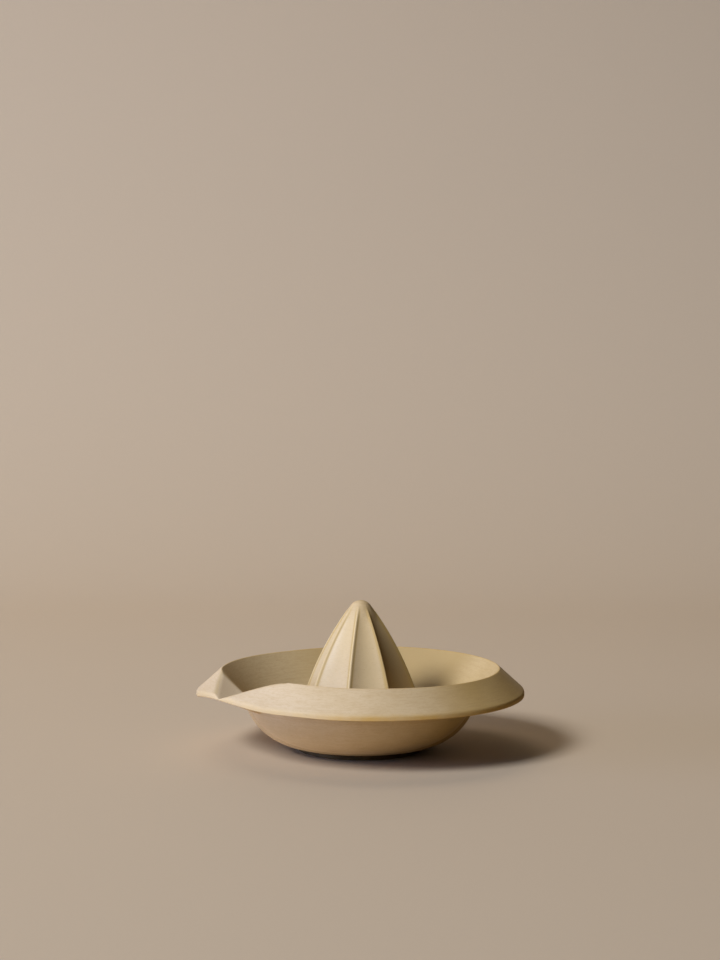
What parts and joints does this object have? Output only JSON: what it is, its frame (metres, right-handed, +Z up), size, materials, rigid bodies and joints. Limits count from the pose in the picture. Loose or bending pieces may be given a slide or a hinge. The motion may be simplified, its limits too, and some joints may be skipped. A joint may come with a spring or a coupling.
{
  "type": "citrus juicer",
  "caption": "Footed round citrus juicer in glazed stoneware, with a bevelled overhanging rim, a V-shaped pouring spout and a fluted hollow cone.",
  "frame": {"origin": "on the cone's axis, at the level of the surface that the foot ring stands on", "axes": "+Z up along the cone; the spout pours along -X"},
  "size_m": [0.1626, 0.1626, 0.0746],
  "materials": {
    "glaze": "satin beige glaze, thinner and more yellow on edges and ridges",
    "foot": "glazed side with a bare fired clay contact face"
  },
  "bodies": {
    "root": {"bowl": "glaze", "rim_flange": "glaze", "pouring_spout": "glaze", "reamer_cone": "glaze", "foot_ring": "foot"}
  },
  "joints": []
}
